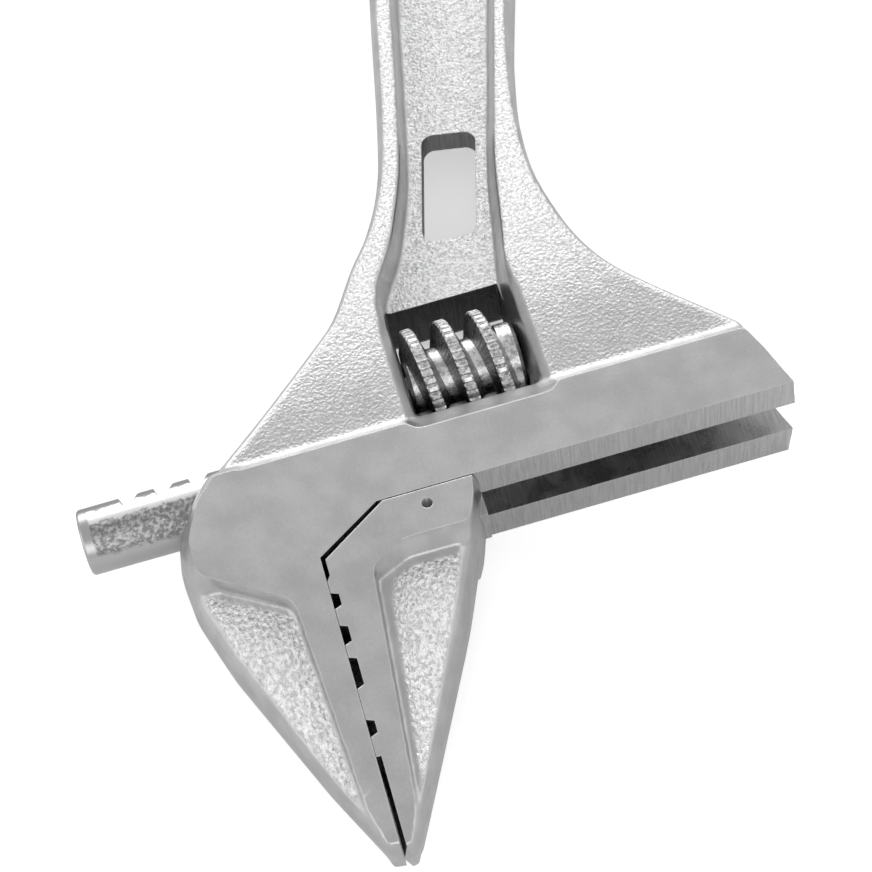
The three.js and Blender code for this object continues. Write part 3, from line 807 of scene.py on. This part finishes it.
def ground_chrome():
    """The fine satin of a face ground before plating."""
    g = Graph("ground_satin_chrome")
    mm = g.millimetres()
    clouds = g.noise(mm, 0.3, 3.0)
    brushed = g.noise(g.stretched(mm, (0.8, 9.0, 9.0)), 1.0, 3.0)
    speckle = g.noise(mm, 4.0, 2.0)
    height = g.math("ADD", g.math("MULTIPLY", brushed, 0.5), g.math("MULTIPLY", speckle, 0.5))
    bevel = g.add("ShaderNodeBevel", {"Radius": 0.00018}, samples=4)
    bump = g.add("ShaderNodeBump", {
        "Strength": 0.12, "Distance": 0.00005, "Height": height, "Normal": bevel.outputs[0],
    })
    roughness = g.between(clouds, 0.3, 0.7, 0.29, 0.33)
    shade = g.math("MULTIPLY", g.between(speckle, 0.3, 0.7, 0.61, 0.65),
                   g.between(clouds, 0.3, 0.7, 0.93, 1.05))
    return g.metal(shade, roughness, bump.outputs[0])


def machined_chrome(name, low, high):
    """Milled walls, with fine tool lines square to the slide."""
    g = Graph(name)
    mm = g.millimetres()
    lines = g.noise(g.stretched(mm, (5.0, 0.25, 0.25)), 1.0, 2.0)
    clouds = g.noise(mm, 0.6, 2.0)
    bevel = g.add("ShaderNodeBevel", {"Radius": 0.0001}, samples=4)
    bump = g.add("ShaderNodeBump", {
        "Strength": 0.4, "Distance": 0.00004, "Height": lines, "Normal": bevel.outputs[0],
    })
    roughness = g.between(clouds, 0.3, 0.7, 0.24, 0.36)
    shade = g.between(lines, 0.3, 0.7, low, high)
    return g.metal(shade, roughness, bump.outputs[0])


def rod_steel():
    """The rack rod: plated at the end and below, with a coarser patch down its front, a painted
    highlight in a strip above the patch and painted shade on the side with the teeth.
    """
    g = Graph("rack_rod_steel")
    mm = g.millimetres()
    parts = g.add("ShaderNodeSeparateXYZ", {0: mm})
    x, y, z = parts.outputs
    level = g.math("SUBTRACT", z, HEAD_HALF)
    behind = g.math("SUBTRACT", ROD_Y, y)
    turn = g.math("ARCTAN2", behind, level)
    edge = g.math("MULTIPLY", g.math("SUBTRACT", g.noise(mm, 1.6, 3.0), 0.5), 0.5)
    turn = g.math("ADD", turn, edge)
    patch = g.math("MULTIPLY", g.between(turn, 0.0, 0.14), g.between(turn, 1.15, 0.95))
    patch = g.math("MULTIPLY", patch, g.between(x, ROD_LEFT + 0.9, ROD_LEFT + 1.1))
    grain = g.noise(mm, 2.6, 3.0, 0.65)
    mottle = g.between(grain, 0.40, 0.66, 0.24, 0.56)
    bevel = g.add("ShaderNodeBevel", {"Radius": 0.0001}, samples=4)
    bump = g.add("ShaderNodeBump", {
        "Strength": g.mix(patch, 0.05, 0.55), "Distance": 0.00022, "Height": grain,
        "Normal": bevel.outputs[0],
    })
    # painted highlight: a near-white strip along the rod's front, between the teeth and the patch
    painted_highlight = g.math("MULTIPLY", g.between(turn, -0.55, -0.35), g.between(turn, 0.14, 0.0))
    painted_highlight = g.math("MULTIPLY", painted_highlight, g.between(x, ROD_LEFT + 0.9, ROD_LEFT + 1.1))
    # painted shade: the side with the teeth, facing the handle, is darker than the plated rest
    plain_and_painted_top_shade = g.mix(g.between(turn, -0.3, -0.6), 0.52, 0.26)
    shade = g.mix(patch, g.mix(painted_highlight, plain_and_painted_top_shade, 0.95), mottle)
    roughness = g.mix(patch, 0.3, 0.4)
    return g.metal(shade, roughness, bump.outputs[0])


def worm_steel():
    """Bright on the crest and core, with painted shade darkening the thread's flanks."""
    g = Graph("knurled_worm_steel")
    mm = g.millimetres()
    normal = g.add("ShaderNodeNewGeometry").outputs["Normal"]
    sideways = g.math("ABSOLUTE", g.add("ShaderNodeSeparateXYZ", {0: normal}).outputs[0])
    # painted shade: where the normal runs along the worm's axis, on the thread's flanks, the colour
    # is darker
    flank = g.between(sideways, 0.55, 0.85)
    mottle = g.noise(mm, 2.2, 3.0, 0.65)
    bevel = g.add("ShaderNodeBevel", {"Radius": 0.00008}, samples=4)
    bump = g.add("ShaderNodeBump", {
        "Strength": 0.4, "Distance": 0.0001, "Height": mottle, "Normal": bevel.outputs[0],
    })
    bright = g.between(mottle, 0.38, 0.62, 0.45, 0.8)
    shade = g.mix(flank, bright, 0.4)
    return g.metal(shade, g.between(mottle, 0.3, 0.7, 0.24, 0.38), bump.outputs[0])


FORGED_CHROME, GROUND_CHROME = forged_chrome(), ground_chrome()
MILLED = machined_chrome("milled_chrome", 0.46, 0.57)
# painted shade: the window's walls get a darker copy of the milled chrome for the deep opening
WINDOW_SHADED_CHROME = machined_chrome("window_painted_shade_chrome", 0.24, 0.34)
BODY_SURFACES = [FORGED_CHROME, GROUND_CHROME, MILLED, WINDOW_SHADED_CHROME]
JAW_SURFACES = [FORGED_CHROME, GROUND_CHROME, MILLED, rod_steel()]
WORM_SURFACES = [worm_steel()] * 4
PIN_SURFACES = [machined_chrome("turned_pin_steel", 0.55, 0.66)] * 4

build_body()
build_jaw()
build_worm()
build_pin()
build_spring()
for material in SURFACES:
    bpy.data.materials.remove(material)


# ---------------------------------------------------------------- floor, light and camera
FLOOR_GLOW = 0.5                # a pale table that glows a little keeps its shadows light


def floor():
    ring = circle(2.5, 96)
    mesh = bpy.data.meshes.new("floor")
    mesh.from_pydata([(p.x, p.y, 0) for p in ring], [], [tuple(range(len(ring)))])
    ob = bpy.data.objects.new("floor", mesh)
    bpy.context.scene.collection.objects.link(ob)
    g = Graph("pale_floor")
    coords = g.add("ShaderNodeTexCoord").outputs["Object"]
    cloud = g.between(g.noise(coords, 3.0, 2.0), 0.3, 0.7, 0.87, 0.89)
    colour = g.add("ShaderNodeCombineColor", {0: cloud, 1: cloud, 2: cloud})
    seen = g.add("ShaderNodeLightPath").outputs["Is Camera Ray"]
    shader = g.add("ShaderNodeBsdfPrincipled", {
        "Base Color": colour.outputs[0], "Roughness": 0.9, "Specular IOR Level": 0.1,
        "Emission Color": (1, 1, 1, 1), "Emission Strength": g.math("MULTIPLY", seen, FLOOR_GLOW),
    })
    out = g.add("ShaderNodeOutputMaterial")
    g.tree.links.new(shader.outputs[0], out.inputs[0])
    mesh.materials.append(g.material)


def area_light(name, location, target, width, height, power):
    light = bpy.data.lights.new(name, "AREA")
    light.shape = "RECTANGLE"
    light.size, light.size_y = width, height
    light.energy = power
    ob = bpy.data.objects.new(name, light)
    bpy.context.scene.collection.objects.link(ob)
    ob.location = location
    ob.rotation_mode = "QUATERNION"
    ob.rotation_quaternion = (Vector(target) - Vector(location)).to_track_quat("-Z", "Y")


def world(strength):
    w = bpy.data.worlds.new("studio")
    bpy.context.scene.world = w
    w.use_nodes = True
    w.node_tree.nodes["Background"].inputs[0].default_value = (1, 1, 1, 1)
    w.node_tree.nodes["Background"].inputs[1].default_value = strength


# The camera hangs over the jaws: tilt from overhead, lean in the picture and yaw, in degrees.
CAM_TILT, CAM_LEAN, CAM_YAW = 30.0, 17.6, 3.4
CAM_DISTANCE = 203.5                    # to the aim point's depth, in millimetres
CAM_AIM = Vector((6.65, 4.05, 6.0))     # a point on the head face
CAM_OFF_AXIS = Vector((-0.023913, 0.024348, 1.0))   # where the aim point lies in the view
SENSOR_WIDTH = 36
LENS = 94.954                           # in millimetres, for that sensor


def camera():
    tilt, lean, yaw = (math.radians(a) for a in (CAM_TILT, CAM_LEAN, CAM_YAW))
    u = Vector((math.cos(yaw), 0, math.sin(yaw)))
    v = Vector((0, -1, 0))
    axes = Matrix((u, v, u.cross(v))).transposed()
    tip = Matrix.Rotation(-tilt, 3, "X")
    roll = Matrix.Rotation(-lean, 3, "Z")
    to_camera = roll @ tip @ axes
    location = CAM_AIM - to_camera.transposed() @ (CAM_OFF_AXIS * CAM_DISTANCE)
    data = bpy.data.cameras.new("camera")
    data.sensor_width = SENSOR_WIDTH
    data.lens = LENS
    data.clip_start, data.clip_end = 0.005, 20
    ob = bpy.data.objects.new("camera", data)
    bpy.context.scene.collection.objects.link(ob)
    flip = Matrix.Diagonal((1, -1, -1))
    rotation = (flip @ to_camera).transposed()
    ob.matrix_world = Matrix.Translation(location * MILLIMETRE) @ rotation.to_4x4()
    bpy.context.scene.camera = ob


floor()
world(0.6)
area_light("back_box", (0.05, 1.0, 0.36), (0.01, 0, 0), 1.4, 0.7, 6.0)
area_light("left_box", (-0.85, -0.1, 0.45), (0.01, 0, 0), 0.9, 0.8, 1.5)
area_light("right_box", (0.85, -0.1, 0.45), (0.01, 0, 0), 0.9, 0.8, 1.3)
area_light("front_box", (0.0, -0.9, 0.7), (0.01, 0, 0), 1.2, 0.6, 2.6)
camera()
bpy.context.scene.view_settings.view_transform = "Standard"
